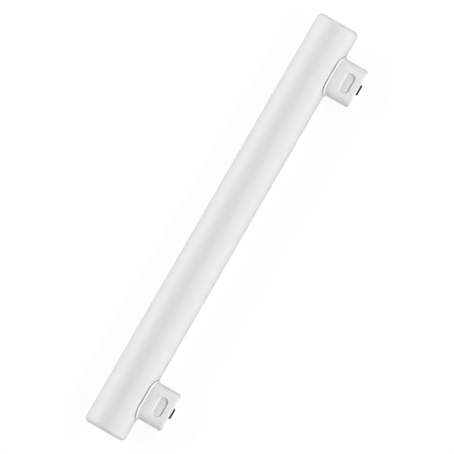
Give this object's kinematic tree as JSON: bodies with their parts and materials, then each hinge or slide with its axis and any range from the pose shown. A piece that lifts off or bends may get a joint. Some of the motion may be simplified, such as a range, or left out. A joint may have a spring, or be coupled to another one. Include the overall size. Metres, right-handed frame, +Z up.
{
  "type": "tubular light bulb",
  "caption": "Straight opal lamp tube, sealed at its ends, with white side caps that plug sideways into lampholders and carry a brass contact in their outer face.",
  "frame": {"origin": "on the surface that the lamp lies on, under the middle of its box", "axes": "+X along the tube from the left cap to the right cap, +Z up from the surface, caps towards -Y and dipping to the surface"},
  "size_m": [0.3, 0.0472, 0.029],
  "materials": {
    "opal": "satin opal",
    "cap_white": "fine moulded matt",
    "contact_brass": "pressed, slightly darkened"
  },
  "bodies": {
    "root": {"opal_tube": "opal", "left_cap": "cap_white", "right_cap": "cap_white", "left_contact": "contact_brass", "right_contact": "contact_brass"}
  },
  "joints": []
}
